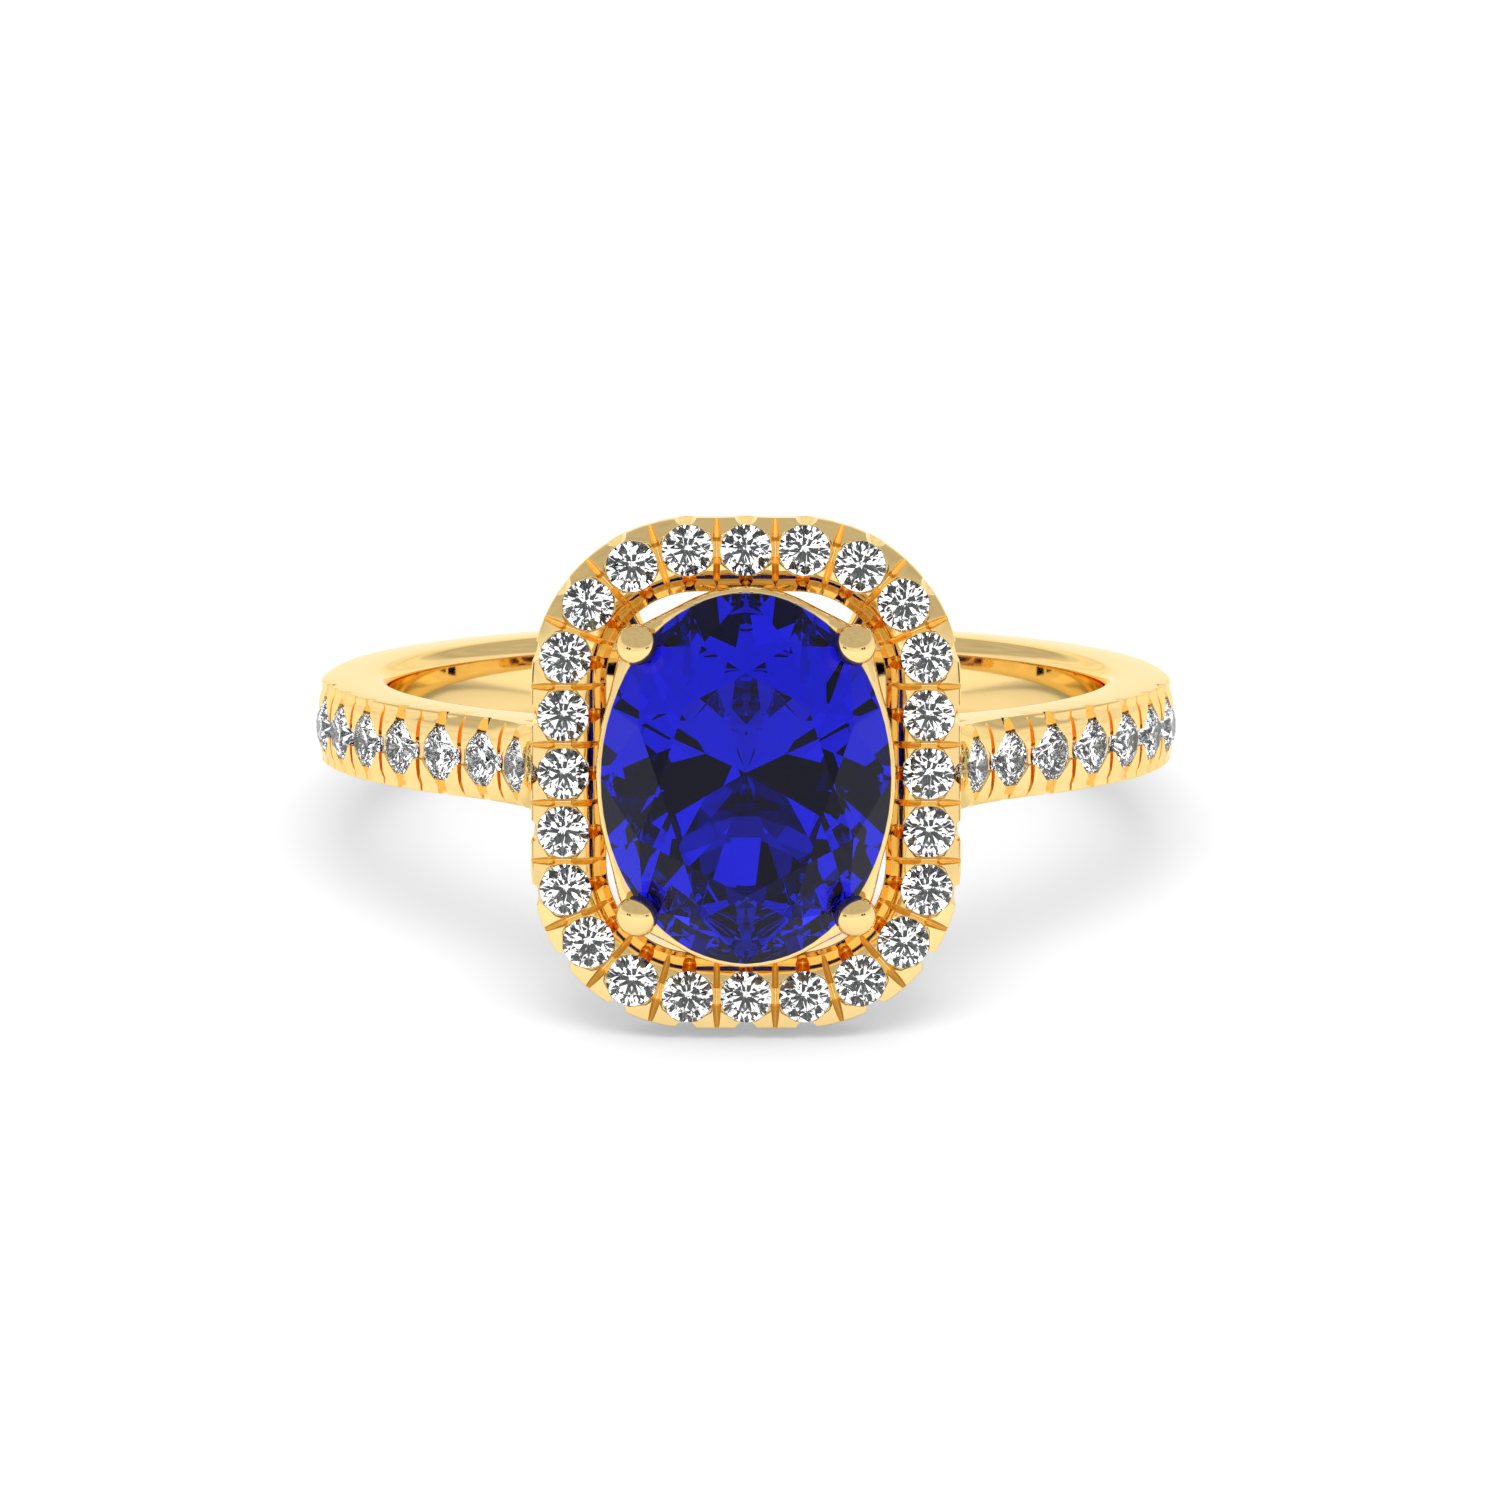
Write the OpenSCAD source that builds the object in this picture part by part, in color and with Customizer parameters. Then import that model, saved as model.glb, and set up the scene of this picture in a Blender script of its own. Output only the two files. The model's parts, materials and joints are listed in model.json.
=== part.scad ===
// Cathedral engagement ring: an oval blue stone on four ball prongs, inside a
// cushion-shaped halo of round diamonds, with a row of diamonds on each shoulder.
// The ring lies on its side, resting on the halo's lower edge and the band's back.
// Before that lean is applied, the finger bore runs along Z and the head faces -Y.

/* [Band] */
// Inside diameter, which is the finger size
finger_d = 17.35; // [16.5:0.05:18.2]
// Thickness of the band, from the bore to its outside
band_t = 1.675; // [1.6:0.025:1.9]
// Width of the band along the finger
band_w = 2.0; // [1.9:0.05:2.4]
// Radius of the comfort-fit edges inside the bore
inner_edge_r = 0.4; // [0.2:0.05:0.5]
// Radius of the band's outside edges
outer_edge_r = 0.25; // [0.15:0.05:0.35]

/* [Shoulders] */
// Angle from the head at which a shoulder leaves the band
leave_angle = 48.6; // [47:0.1:51]
// Straight length of a shoulder before it turns up to the halo
rise_straight = 2.2; // [2.0:0.05:2.4]
// Radius of the hollow curve where a shoulder turns up to the halo
rise_r = 5.2; // [4.8:0.1:6]
// Diameter of a shoulder diamond
side_stone_d = 1.3; // [1.1:0.05:1.35]
// Distance between shoulder diamonds
side_pitch = 1.53; // [1.45:0.01:1.6]
// Diamonds in one shoulder
side_count = 7; // [5:1:8]

/* [Halo] */
// Width of the halo across the finger's direction
halo_w = 10.36; // [10.2:0.02:10.8]
// Height of the halo along the finger
halo_l = 12.4; // [12.3:0.02:13]
// Radius of the halo's outside corners
halo_corner_r = 3.98; // [3.6:0.02:4.2]
// Thickness of the halo from its base to its face
halo_t = 1.35; // [1.15:0.05:1.5]
// Diameter of a halo diamond
halo_stone_d = 1.25; // [1.05:0.05:1.3]
// Number of halo diamonds
halo_count = 24; // [20:2:24]

/* [Centre stone] */
// Width of the oval stone
stone_w = 7.0; // [6.8:0.05:7.0]
// Length of the oval stone
stone_l = 9.0; // [8.8:0.05:9.0]
// Crown height above the girdle
stone_crown = 1.2; // [0.9:0.05:1.4]
// Thickness of the girdle
stone_girdle = 0.15; // [0.08:0.01:0.25]
// Pavilion depth below the girdle
stone_pavilion = 2.7; // [2.4:0.05:2.8]

/* [Basket] */
// Diameter of the round prong tips
prong_tip_d = 1.02; // [0.9:0.02:1.1]
// Diameter of the prong wires
prong_wire_d = 0.8; // [0.65:0.05:0.85]

/* [Hidden] */
fine = 96;
small = 48;
gap = 0.01;
gold = [0.89, 0.72, 0.42];
sapphire_blue = [0.09, 0.12, 0.72];
diamond_white = [0.93, 0.95, 0.97];

// Radii and heights outward from the bore's axis
bore_r = finger_d / 2;
band_r = bore_r + band_t;
seat_level = band_r - 0.6;
halo_base = band_r - 0.45;
halo_face = halo_base + halo_t;
halo_girdle = halo_face - 0.04;
stone_level = band_r + 1.8;

// The halo's metal: a plate, and above its inside ledge a narrower band that holds the stones
halo_plate_w = 1.81;
halo_band_w = 1.52;
halo_ledge = halo_face - 0.35;
halo_rim = 0.77;
drill_d = 0.5;
seat_clear = 0.015;

// The loop that the halo diamonds' centres follow
loop_x = halo_w / 2 - halo_rim;
loop_y = halo_l / 2 - halo_rim;
loop_r = halo_corner_r - halo_rim;
loop_quarter = loop_x + loop_y - 2 * loop_r + loop_r * PI / 2;

// Basket wires: half widths and half lengths of the ovals
rail_out = [stone_w / 2 + 0.05, stone_l / 2 + 0.05];
rail_in = [stone_w / 2 - 0.32, stone_l / 2 - 0.4];
rail_top = stone_level - 0.3;
rail_h = 0.55;
foot_out = [2.5, 3.05];
foot_in = [1.8, 2.3];
foot_h = 0.65;
prong_top = [2.64, 3.30];
prong_foot = [1.72, 2.16];
prong_ball_level = stone_level + 0.35;
bridge_level = halo_base + 0.6;
bridge_d = 0.6;

// A shoulder diamond's girdle stands this far proud of the metal
side_proud = 0.03;
side_path_r = band_r + side_proud;
side_last = rise_straight + 1.48;
rise_dir = [-cos(leave_angle), sin(leave_angle)];
rise_out = [sin(leave_angle), cos(leave_angle)];
leave_pt = side_path_r * rise_out;
rise_pt = leave_pt + rise_straight * rise_dir;
rise_centre = rise_pt + rise_r * rise_out;
window_tip = [5.35, sqrt(pow(band_r, 2) - pow(5.35, 2))];

// The lean at which the halo's lower back edge and the band's back touch one plane
rest_lean = atan((halo_l - band_w) / 2 / (halo_base + band_r - outer_edge_r));

sides = ["left", "right"];
corners = [[-1, 1], [1, 1], [-1, -1], [1, -1]];
corner_names = ["upper_left", "upper_right", "lower_left", "lower_right"];
function two_digits(i) = str(i < 9 ? "0" : "", i + 1);
function halo_name(i) = str("halo_diamond_", two_digits(i));
function side_name(s, i) = str(sides[s], "_shoulder_diamond_", i + 1);
function prong_name(c) = str("prong_", corner_names[c]);
function bridge_name(c) = str("bridge_", corner_names[c]);

// ---- Frames ----

// The ring as it lies
module lying() {
    rotate([-rest_lean, 0, 0]) children();
}

// Local z points out of the head, local y along the finger
module facing_head() {
    rotate([90, 0, 0]) children();
}

// ---- Paths ----

// A point of the halo loop's first quarter, from its top centre to its right centre
function quarter_point(u) =
    let (
        top = loop_x - loop_r,
        arc = loop_r * PI / 2,
        turn = 90 - (u - top) / loop_r * 180 / PI
    )
    u <= top ? [u, loop_y]
    : u >= top + arc ? [loop_x, loop_y - loop_r - (u - top - arc)]
    : [top + loop_r * cos(turn), loop_y - loop_r + loop_r * sin(turn)];

// A point of the whole halo loop, clockwise from its top centre
function loop_point(s) =
    let (
        q = floor(s / loop_quarter),
        w = s - q * loop_quarter,
        p = quarter_point(q % 2 == 0 ? w : loop_quarter - w)
    )
    [q < 2 ? p.x : -p.x, q == 0 || q == 3 ? p.y : -p.y];

// A shoulder diamond's place from the point where the shoulder leaves the band:
// [across, outward, angle of its axis from the head's direction]
function side_point(t) =
    let (
        on_band = leave_angle - t / side_path_r * 180 / PI,
        turned = leave_angle + (t - rise_straight) / rise_r * 180 / PI,
        hollow = rise_centre - rise_r * [sin(turned), cos(turned)],
        straight = leave_pt + t * rise_dir
    )
    t < 0 ? [side_path_r * sin(on_band), side_path_r * cos(on_band), on_band]
    : t < rise_straight ? [straight.x, straight.y, leave_angle]
    : [hollow.x, hollow.y, turned];

function side_t(i) = side_last - (side_count - 1 - i) * side_pitch;

// Puts a shoulder diamond or its seat in place, with its axis along local z
module at_side(s, i) {
    p = side_point(side_t(i));
    mirror([s == 0 ? 1 : 0, 0, 0])
        translate([p.x, -p.y, 0])
            rotate([0, 0, p[2]])
                rotate([90, 0, 0]) children();
}

// Puts a halo diamond or its seat in place
module at_halo(i) {
    p = loop_point(i * 4 * loop_quarter / halo_count);
    facing_head() translate([p.x, p.y, halo_girdle]) children();
}

// ---- Stones ----

function ring_points(n, r, z, start) = [
    for (k = [0:n - 1]) [r * cos(start + k * 360 / n), r * sin(start + k * 360 / n), z]
];

// A brilliant of unit radius, its girdle's upper edge at z = 0. Eight mains, eight
// stars and sixteen girdle facets on the crown, and the pavilion to match
module unit_brilliant(table, crown, girdle, pavilion) {
    star_r = 0.5 * (table + 1);
    star_z = crown * (1 - (star_r * cos(22.5) - table) / (1 - table));
    half_r = 0.25;
    half_z = -girdle - pavilion * (1 - half_r * cos(22.5));
    points = concat(
        ring_points(8, table, crown, 0),
        ring_points(8, star_r, star_z, 22.5),
        ring_points(16, 1, 0, 0),
        ring_points(16, 1, -girdle, 0),
        ring_points(8, half_r, half_z, 22.5),
        [[0, 0, -girdle - pavilion]]
    );
    faces = concat(
        [[for (k = [7:-1:0]) k]],
        [for (k = [0:7]) [k, (k + 1) % 8, 8 + k]],
        [for (k = [0:7]) [k, 8 + k, 16 + 2 * k, 8 + (k + 7) % 8]],
        [for (k = [0:7]) [8 + k, 17 + 2 * k, 16 + 2 * k]],
        [for (k = [0:7]) [8 + k, 16 + (2 * k + 2) % 16, 17 + 2 * k]],
        [for (k = [0:15]) [16 + k, 16 + (k + 1) % 16, 32 + (k + 1) % 16, 32 + k]],
        [for (k = [0:7]) [48 + k, 32 + 2 * k, 33 + 2 * k]],
        [for (k = [0:7]) [48 + k, 33 + 2 * k, 32 + (2 * k + 2) % 16]],
        [for (k = [0:7]) [56, 48 + (k + 7) % 8, 32 + 2 * k, 48 + k]]
    );
    polyhedron(points, faces, convexity = 2);
}

module melee(d) {
    scale(d / 2) unit_brilliant(0.56, 0.32, 0.06, 0.84);
}

// The hole that a small stone sits in: straight above the girdle, a cone below it,
// and a drilled hole through the metal
module melee_seat(d) {
    r = d / 2 + seat_clear;
    depth = 0.84 * r;
    translate([0, 0, -0.06 * d / 2 - gap]) cylinder(r = r, h = 1, $fn = small);
    translate([0, 0, -0.06 * d / 2 - gap - depth])
        cylinder(r1 = 0, r2 = r, h = depth, $fn = small);
    translate([0, 0, -1.2]) cylinder(d = drill_d, h = 1.2, $fn = small);
}

module halo_diamond(i) {
    color(diamond_white) lying() at_halo(i) melee(halo_stone_d);
}

module shoulder_diamond(s, i) {
    color(diamond_white) lying() at_side(s, i) melee(side_stone_d);
}

module oval_stone() {
    facing_head()
        translate([0, 0, stone_level])
            scale([stone_w / 2, stone_l / 2, 1])
                unit_brilliant(0.6, stone_crown, stone_girdle, stone_pavilion);
}

module centre_sapphire() {
    color(sapphire_blue) lying() oval_stone();
}

// ---- Band and shoulders ----

// Half of the band's section, with its edges as true arcs
module band_section() {
    half = band_w / 2;
    in = inner_edge_r;
    out = outer_edge_r;
    polygon([
        [bore_r, -half + in], [bore_r + in, -half], [band_r - out, -half], [band_r, -half + out],
        [band_r, half - out], [band_r - out, half], [bore_r + in, half], [bore_r, half - in]
    ]);
    for (side = [-1, 1]) {
        translate([bore_r + in, side * (half - in)]) circle(r = in, $fn = small);
        translate([band_r - out, side * (half - out)]) circle(r = out, $fn = small);
    }
}

// The flat seat under the head and the pit that clears the stone's point
module head_seat() {
    facing_head() {
        translate([-4, -band_w, seat_level]) cube([8, 2 * band_w, 4]);
        translate([0, 0, seat_level - 0.55]) cylinder(r1 = 0.3, r2 = 0.95, h = 0.56, $fn = small);
    }
}

module band() {
    color(gold) lying() difference() {
        rotate_extrude($fn = fine * 2) band_section();
        head_seat();
        for (s = [0:1]) for (i = [0:side_count - 1]) if (side_t(i) < 0) {
            at_side(s, i) melee_seat(side_stone_d);
        }
    }
}

// A shoulder's outline seen along the bore, on the right side
module shoulder_outline() {
    wall = halo_w / 2;
    edge = band_r * rise_out;
    turn_pt = rise_pt - side_proud * rise_out;
    difference() {
        polygon([
            edge, turn_pt, [wall, halo_face], [wall, halo_base],
            [wall - 0.5, halo_base], window_tip
        ]);
        circle(r = band_r, $fn = fine * 2);
        translate(rise_centre) circle(r = rise_r + side_proud, $fn = fine);
    }
}

module shoulder(s) {
    color(gold) lying() difference() {
        mirror([s == 0 ? 1 : 0, 0, 0])
            mirror([0, 1, 0])
                translate([0, 0, -band_w / 2]) linear_extrude(band_w) shoulder_outline();
        for (i = [0:side_count - 1]) if (side_t(i) >= 0) {
            at_side(s, i) melee_seat(side_stone_d);
        }
    }
}

// ---- Halo and basket ----

// A rectangle with true round corners, made of a cross and four circles
module rounded(w, l, r) {
    square([w - 2 * r, l], center = true);
    square([w, l - 2 * r], center = true);
    for (x = [-1, 1]) for (y = [-1, 1]) {
        translate([x * (w / 2 - r), y * (l / 2 - r)]) circle(r = r, $fn = fine);
    }
}

// The halo's opening at a width of metal, from a base level upward
module halo_hole(metal, base, h) {
    facing_head() translate([0, 0, base])
        linear_extrude(h) rounded(halo_w - 2 * metal, halo_l - 2 * metal, halo_corner_r - metal);
}

module halo_frame() {
    color(gold) lying() difference() {
        facing_head() translate([0, 0, halo_base])
            linear_extrude(halo_t) rounded(halo_w, halo_l, halo_corner_r);
        halo_hole(halo_plate_w, halo_base - 1, halo_t + 2);
        halo_hole(halo_band_w, halo_ledge, 1);
        for (i = [0:halo_count - 1]) at_halo(i) melee_seat(halo_stone_d);
    }
}

// An oval wire from a base level upward
module oval_wire(out, in, base, h) {
    facing_head() translate([0, 0, base]) linear_extrude(h) difference() {
        scale(out) circle(r = 1, $fn = fine * 2);
        scale(in) circle(r = 1, $fn = fine * 2);
    }
}

// A prong's straight wire, from the lower rail up to its ball
module prong_wire(c) {
    side = corners[c];
    foot = [side.x * prong_foot.x, side.y * prong_foot.y, seat_level];
    tip = [side.x * prong_top.x, side.y * prong_top.y, prong_ball_level];
    run = tip - foot;
    facing_head() translate(foot)
        rotate([0, acos(run.z / norm(run)), atan2(run.y, run.x)])
            cylinder(d = prong_wire_d, h = norm(run), $fn = small);
}

module prong_ball(c) {
    side = corners[c];
    facing_head() translate([side.x * prong_top.x, side.y * prong_top.y, prong_ball_level])
        sphere(d = prong_tip_d, $fn = small);
}

module prong(c) {
    color(gold) lying() difference() {
        union() {
            prong_wire(c);
            prong_ball(c);
        }
        oval_stone();
        facing_head() translate([-5, -5, seat_level - 2]) cube([10, 10, 2]);
    }
}

module upper_basket_rail() {
    color(gold) lying() difference() {
        oval_wire(rail_out, rail_in, rail_top - rail_h, rail_h);
        for (c = [0:3]) prong_wire(c);
    }
}

module lower_basket_rail() {
    color(gold) lying() difference() {
        oval_wire(foot_out, foot_in, seat_level, foot_h);
        for (c = [0:3]) prong_wire(c);
    }
}

// A short bar from a prong's wire to the halo's inside wall
module bridge(c) {
    side = corners[c];
    share = (bridge_level - seat_level) / (prong_ball_level - seat_level);
    at = prong_foot + (prong_top - prong_foot) * share;
    color(gold) lying() difference() {
        intersection() {
            facing_head() translate([side.x * at.x, side.y * at.y, bridge_level])
                rotate([0, 0, atan2(side.y * at.y, side.x * at.x)])
                    rotate([0, 90, 0]) cylinder(d = bridge_d, h = 3, $fn = small);
            halo_hole(halo_plate_w, halo_base, halo_t);
        }
        prong_wire(c);
    }
}

// ---- Assembly ----

band();
shoulder(0);  // left_shoulder
shoulder(1);  // right_shoulder
halo_frame();
upper_basket_rail();
lower_basket_rail();
centre_sapphire();
for (c = [0:3]) prong(c);
for (c = [0:3]) bridge(c);
for (i = [0:halo_count - 1]) halo_diamond(i);
for (s = [0:1]) for (i = [0:side_count - 1]) {
    shoulder_diamond(s, i);
}
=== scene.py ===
"""An oval sapphire ring with a diamond halo, lying on a white floor.

Shapes are worked out in millimetres in the ring's own frame, before its lean: the finger
bore runs along Z and the head faces -Y. TO_ROW turns that into the row frame in metres.
"""

import json
import math
import random

import bmesh
import bpy
from mathutils import Matrix, Vector


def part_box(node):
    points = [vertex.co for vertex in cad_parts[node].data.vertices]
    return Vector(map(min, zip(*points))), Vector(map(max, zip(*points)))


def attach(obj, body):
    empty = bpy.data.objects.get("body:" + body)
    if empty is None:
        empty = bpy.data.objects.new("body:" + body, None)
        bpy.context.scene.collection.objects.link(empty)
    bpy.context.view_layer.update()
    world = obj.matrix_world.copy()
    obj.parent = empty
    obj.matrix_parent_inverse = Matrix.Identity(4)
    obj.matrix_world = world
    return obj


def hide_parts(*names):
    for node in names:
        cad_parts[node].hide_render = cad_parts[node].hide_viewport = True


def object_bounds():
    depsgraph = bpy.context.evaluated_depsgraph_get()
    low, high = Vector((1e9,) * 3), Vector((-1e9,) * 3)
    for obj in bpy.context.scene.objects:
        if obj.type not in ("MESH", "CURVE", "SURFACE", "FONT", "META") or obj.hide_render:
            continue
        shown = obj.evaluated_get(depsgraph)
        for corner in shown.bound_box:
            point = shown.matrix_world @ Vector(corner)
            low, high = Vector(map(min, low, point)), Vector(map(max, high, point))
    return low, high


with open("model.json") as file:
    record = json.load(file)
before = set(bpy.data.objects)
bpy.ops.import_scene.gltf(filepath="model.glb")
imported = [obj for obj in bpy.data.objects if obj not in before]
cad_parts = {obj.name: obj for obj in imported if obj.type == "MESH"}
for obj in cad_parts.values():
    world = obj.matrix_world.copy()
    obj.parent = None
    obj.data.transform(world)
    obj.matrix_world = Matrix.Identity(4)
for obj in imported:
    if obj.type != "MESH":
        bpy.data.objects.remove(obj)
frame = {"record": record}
cad_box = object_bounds()

# ---- Dimensions, in millimetres ----

MM = 0.001
BORE = next(m for m in frame["record"]["mounts"] if m["name"] == "finger_bore")
BORE_R = BORE["dims"]["r_mm"]
LEAN = math.atan2(BORE["axis"][1], BORE["axis"][2])
TO_ROW = Matrix.Rotation(-LEAN, 4, "X") @ Matrix.Scale(MM, 4)

BAND_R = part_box("band")[1][0] / MM
BAND_HALF_W = 1.0
BORE_EDGE_R = 0.4
SEAT_LEVEL = BAND_R - 0.6

# The halo: half sizes over the metal, then levels out from the bore's axis, then how far
# the rim, the opening's wall and the inner tabs lie from the line of the stones' centres
HALO_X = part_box("halo_frame")[1][0] / MM
HALO_Y = HALO_X + 1.02
HALO_CORNER_R = 3.98
HALO_BASE = BAND_R - 0.45
HALO_FACE = HALO_BASE + 1.35
HALO_RIM = 0.77
HALO_INSIDE = 1.045
TAB_INSIDE = 0.75
HALO_COUNT = 24
HALO_STONE_R = 0.615

# A shoulder leaves the band at LEAVE, climbs straight and then turns up to the halo.
# Lengths along its stones are counted from where it leaves.
LEAVE = math.radians(48.6)
RISE_STRAIGHT = 2.2
RISE_R = 5.2
SIDE_COUNT = 7
SIDE_STONE_R = 0.65
SIDE_PITCH = 1.53
SIDE_PROUD = 0.03
SIDE_LAST = RISE_STRAIGHT + 1.48
SIDE_START = -7.1

STONE_X, STONE_Y = 3.5, 4.5
STONE_LEVEL = BAND_R + 1.8
STONE_CROWN, STONE_GIRDLE, STONE_PAVILION = 1.2, 0.15, 2.85
STONE_GAP = 0.01  # between the centre stone and the metal that holds it
PRONG_X, PRONG_Y = 2.64, 3.30
PRONG_R = 0.51

CORNERS = {
    "upper_left": (-1, 1),
    "upper_right": (1, 1),
    "lower_left": (-1, -1),
    "lower_right": (1, -1),
}

random.seed(7)


# ---- Camera ----


def make_camera():
    """A long lens in front of the head and a little above the line of the stone's axis."""
    elevation = LEAN + math.radians(7.25)
    distance, frame_width, sensor = 1100.0, 36.1446, 36.0
    data = bpy.data.cameras.new("camera")
    data.sensor_width = sensor
    data.lens = sensor * (distance - HALO_FACE) / frame_width
    data.clip_start, data.clip_end = 0.05, 10
    camera = bpy.data.objects.new("camera", data)
    bpy.context.scene.collection.objects.link(camera)
    back = Vector((0, -math.cos(elevation), math.sin(elevation)))
    up = Vector((0, math.sin(elevation), math.cos(elevation)))
    aim = Vector((0.096, 0, 0)) - 0.84 * up
    camera.location = (aim + distance * back) * MM
    camera.rotation_mode = "QUATERNION"
    camera.rotation_quaternion = (-back).to_track_quat("-Z", "Y")
    bpy.context.scene.camera = camera


# ---- Mesh tools ----


def loft(rings, closed=False):
    """Vertices and faces through rings of equal length, capped or joined end to start."""
    n, count = len(rings[0]), len(rings)
    verts = [tuple(p) for ring in rings for p in ring]
    faces = []
    for i in range(count if closed else count - 1):
        a, b = i * n, (i + 1) % count * n
        faces += [(a + k, a + (k + 1) % n, b + (k + 1) % n, b + k) for k in range(n)]
    if not closed:
        faces.append(tuple(reversed(range(n))))
        faces.append(tuple(range((count - 1) * n, count * n)))
    return verts, faces


def turned(profile, sides=48):
    """A solid of revolution about the local W axis from (radius, height) pairs."""
    angles = [2 * math.pi * k / sides for k in range(sides)]
    return loft([[(r * math.cos(a), r * math.sin(a), w) for a in angles] for r, w in profile])


def joined(parts):
    """One mesh from (shape, matrix) pairs, with its normals facing out."""
    bm = bmesh.new()
    for (verts, faces), matrix in parts:
        made = [bm.verts.new(matrix @ Vector(v)) for v in verts]
        for face in faces:
            bm.faces.new([made[k] for k in face])
    bmesh.ops.recalc_face_normals(bm, faces=bm.faces)
    mesh = bpy.data.meshes.new("part")
    bm.to_mesh(mesh)
    bm.free()
    return mesh


def combined(mesh, tool, operation):
    """The boolean of two closed meshes."""
    scene = bpy.context.scene
    a = bpy.data.objects.new("a", mesh)
    b = bpy.data.objects.new("b", tool)
    for o in (a, b):
        scene.collection.objects.link(o)
    modifier = a.modifiers.new("cut", "BOOLEAN")
    modifier.operation, modifier.object, modifier.solver = operation, b, "MANIFOLD"
    dg = bpy.context.evaluated_depsgraph_get()
    out = bpy.data.meshes.new_from_object(a.evaluated_get(dg), depsgraph=dg)
    for o in (a, b):
        bpy.data.objects.remove(o)
    return out


def drop_shards(bm):
    """Removes the slivers that cutting leaves: islands of only a few faces."""
    seen, shards = set(), []
    for start in bm.faces:
        if start in seen:
            continue
        island, todo = {start}, [start]
        while todo:
            for edge in todo.pop().edges:
                for face in edge.link_faces if edge.is_manifold else ():
                    if face not in island:
                        island.add(face)
                        todo.append(face)
        seen |= island
        if len(island) < 8:
            shards += island
    bmesh.ops.delete(bm, geom=shards, context="FACES")


def piece(name, mesh, material, nodes, smooth_angle=28.0):
    """A finished piece in the row frame, riding on the root and standing for CAD nodes."""
    mesh.transform(TO_ROW)
    bm = bmesh.new()
    bm.from_mesh(mesh)
    bmesh.ops.remove_doubles(bm, verts=bm.verts, dist=1e-7)
    bmesh.ops.triangulate(bm, faces=bm.faces)
    drop_shards(bm)
    limit = math.radians(smooth_angle)
    for face in bm.faces:
        face.smooth = True
    for edge in bm.edges:
        edge.smooth = edge.is_manifold and edge.calc_face_angle(0) < limit
    bm.to_mesh(mesh)
    bm.free()
    mesh.name = name
    mesh.materials.clear()
    mesh.materials.append(material)
    obj = bpy.data.objects.new(name, mesh)
    bpy.context.scene.collection.objects.link(obj)
    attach(obj, "root")
    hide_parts(*nodes)
    return obj


# ---- Paths ----


def frame_matrix(along, across, out, at):
    """Local U along a row of stones, V across it and W out of the metal."""
    m = Matrix.Identity(4)
    for k, axis in enumerate((along, across, out, at)):
        for row in range(3):
            m[row][k] = axis[row]
    return m


def head_point(x, y, level):
    """A point over the head: across, along the finger, and out from the bore's axis."""
    return Vector((x, -level, y))


def halo_outline(offset):
    """Half sizes and corner radius of the halo's loop at an offset outward from the stones."""
    inset = HALO_RIM - offset
    return HALO_X - inset, HALO_Y - inset, HALO_CORNER_R - inset


def halo_quarter():
    half_x, half_y, r = halo_outline(0)
    return half_x + half_y - 2 * r + r * math.pi / 2


def halo_place(s, level):
    """The frame at a length s along the halo's loop, clockwise from its top centre."""
    half_x, half_y, r = halo_outline(0)
    quarter = halo_quarter()
    s %= 4 * quarter
    q = int(s // quarter)
    u = s - q * quarter
    if q % 2:
        u = quarter - u
    top, arc = half_x - r, r * math.pi / 2
    if u <= top:
        x, y, turn = u, half_y, math.pi / 2
    elif u >= top + arc:
        x, y, turn = half_x, half_y - r - (u - top - arc), 0.0
    else:
        turn = math.pi / 2 - (u - top) / r
        x, y = top + r * math.cos(turn), half_y - r + r * math.sin(turn)
    sx, sy = (1 if q < 2 else -1), (1 if q in (0, 3) else -1)
    across = Vector((sx * math.cos(turn), 0, sy * math.sin(turn)))
    out = Vector((0, -1, 0))
    return frame_matrix(across.cross(out), across, out, head_point(sx * x, sy * y, level))


def side_place(side, t, lift=0.0):
    """The frame at a length t along a shoulder's stones, from where it leaves the band."""
    path_r = BAND_R + SIDE_PROUD
    leave = Vector((path_r * math.sin(LEAVE), path_r * math.cos(LEAVE)))
    run = Vector((-math.cos(LEAVE), math.sin(LEAVE)))
    normal = Vector((math.sin(LEAVE), math.cos(LEAVE)))
    if t < 0:
        turn = LEAVE - t / path_r
        at = path_r * Vector((math.sin(turn), math.cos(turn)))
    elif t < RISE_STRAIGHT:
        turn = LEAVE
        at = leave + t * run
    else:
        turn = LEAVE + (t - RISE_STRAIGHT) / RISE_R
        centre = leave + RISE_STRAIGHT * run + RISE_R * normal
        at = centre - RISE_R * Vector((math.sin(turn), math.cos(turn)))
    out = Vector((side * math.sin(turn), -math.cos(turn), 0))
    across = Vector((0, 0, 1))
    point = Vector((side * at.x, -at.y, 0)) + lift * out
    return frame_matrix(across.cross(out), across, out, point)


def side_length(i):
    """Where the i-th stone of a shoulder sits, from where the shoulder leaves the band."""
    return SIDE_LAST - (SIDE_COUNT - 1 - i) * SIDE_PITCH


# ---- Pave cutting: seats, notches and grooves ----

HALO_TAB = 0.05  # how far the metal stands above a halo stone's girdle
SIDE_TAB = 0.09  # how far it stands above a shoulder stone's


def seat(r, lip=0.0):
    """The hole for a small stone: drilled, coned for its pavilion, with a lip over its crown."""
    profile = [(0.25, -1.6), (0.25, -0.6), (r + 0.01, -0.07), (r + 0.01, 0.0)]
    profile += [(r + 0.01 - lip, lip * 0.9), (r + 0.01 - lip, 0.8)]
    return turned(profile if lip else profile[:3] + [profile[-1]], 64)


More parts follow.
